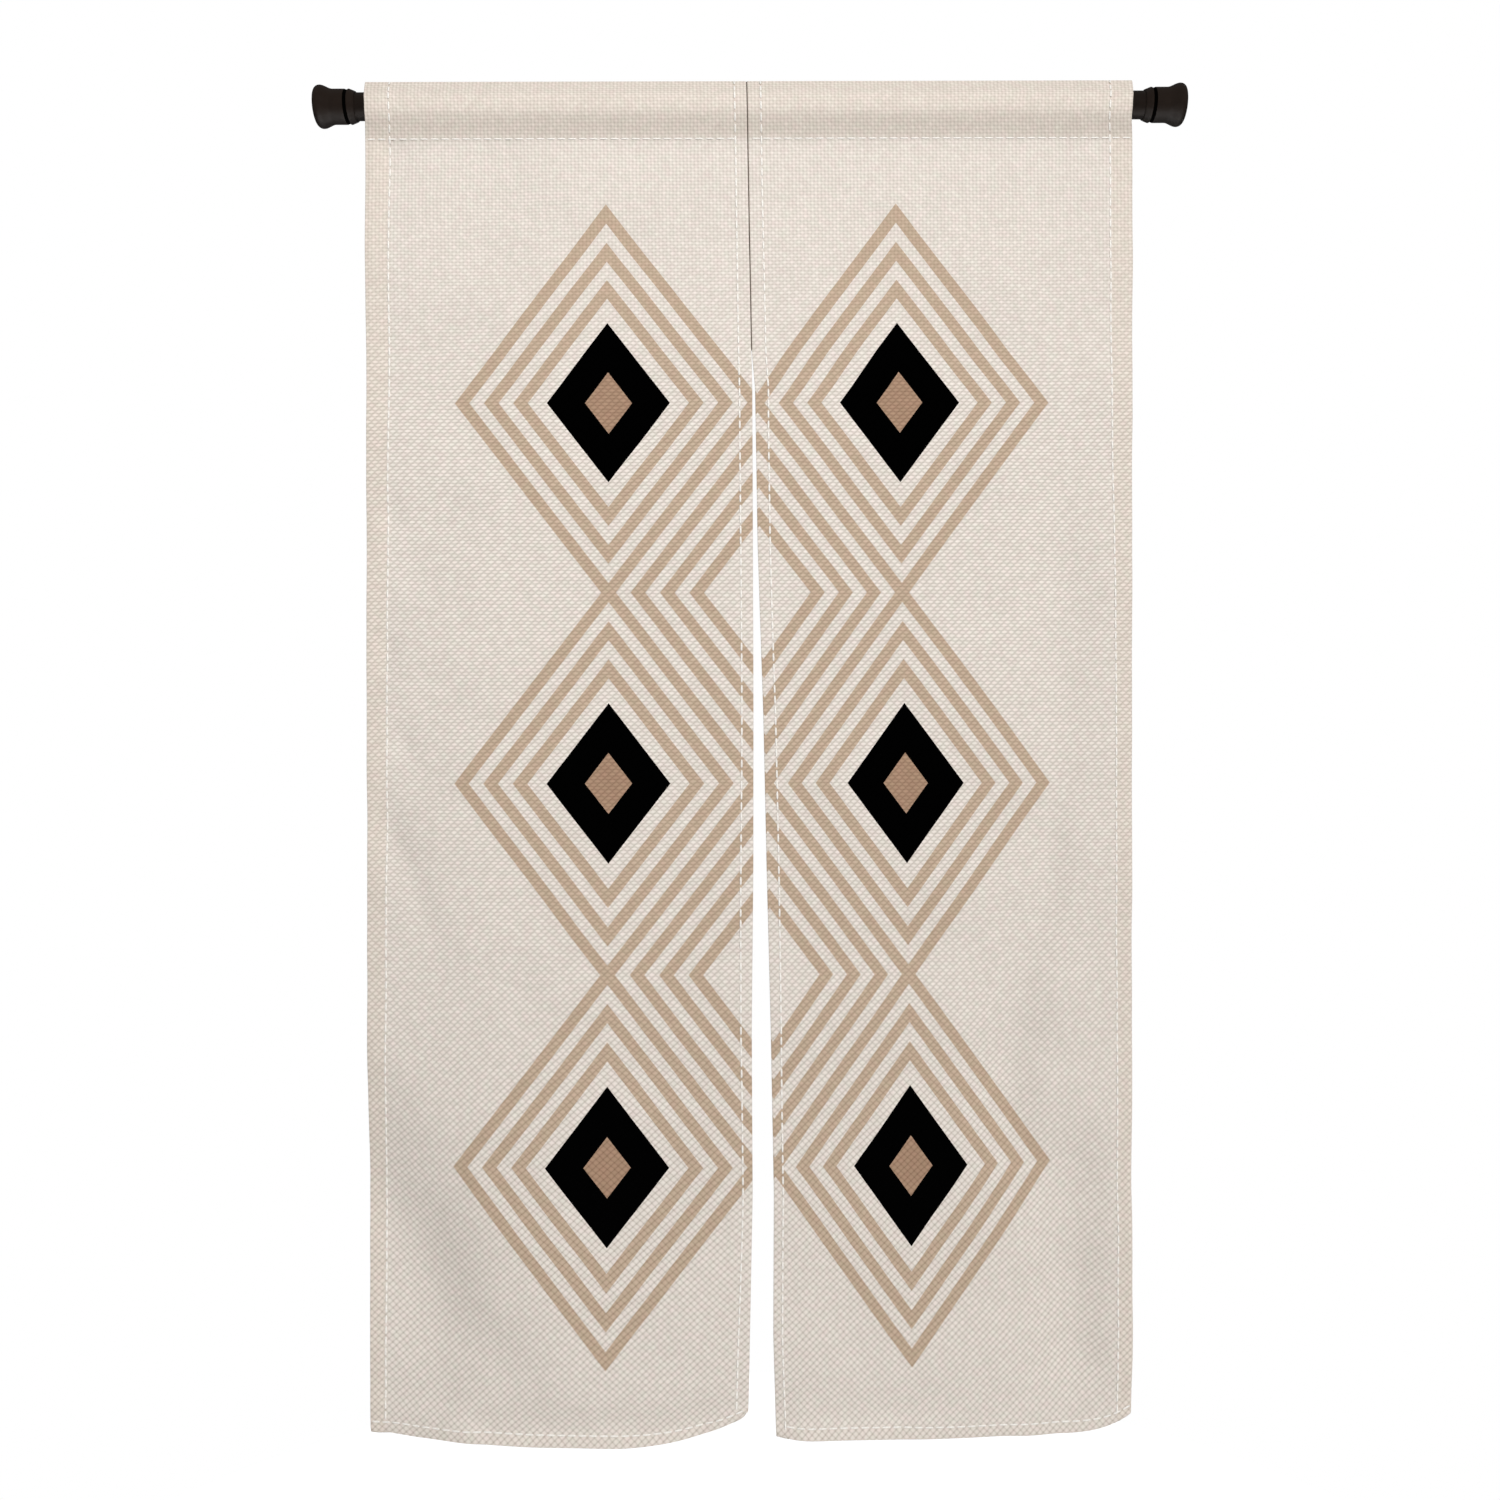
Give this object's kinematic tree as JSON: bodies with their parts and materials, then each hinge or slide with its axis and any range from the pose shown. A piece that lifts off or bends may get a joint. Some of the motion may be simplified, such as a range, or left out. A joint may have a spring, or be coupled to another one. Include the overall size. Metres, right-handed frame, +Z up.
{
  "type": "noren curtain with rod",
  "caption": "Split doorway curtain in thick woven cloth, hanging by stitched pockets from a round rod with flared end caps.",
  "frame": {"origin": "on the rod's axis, midway between its two ends", "axes": "+X along the rod to the viewer's right, +Y away from the viewer, through the doorway, +Z up"},
  "size_m": [0.9588, 0.0485, 1.5035],
  "materials": {
    "cloth": "matt plain weave with a printed pattern",
    "rod": "satin dark bronze",
    "end_cap": "satin dark bronze"
  },
  "bodies": {
    "root": {"panel_left": "cloth", "panel_right": "cloth", "rod": "rod", "end_cap_left": "end_cap", "end_cap_right": "end_cap"}
  },
  "joints": []
}
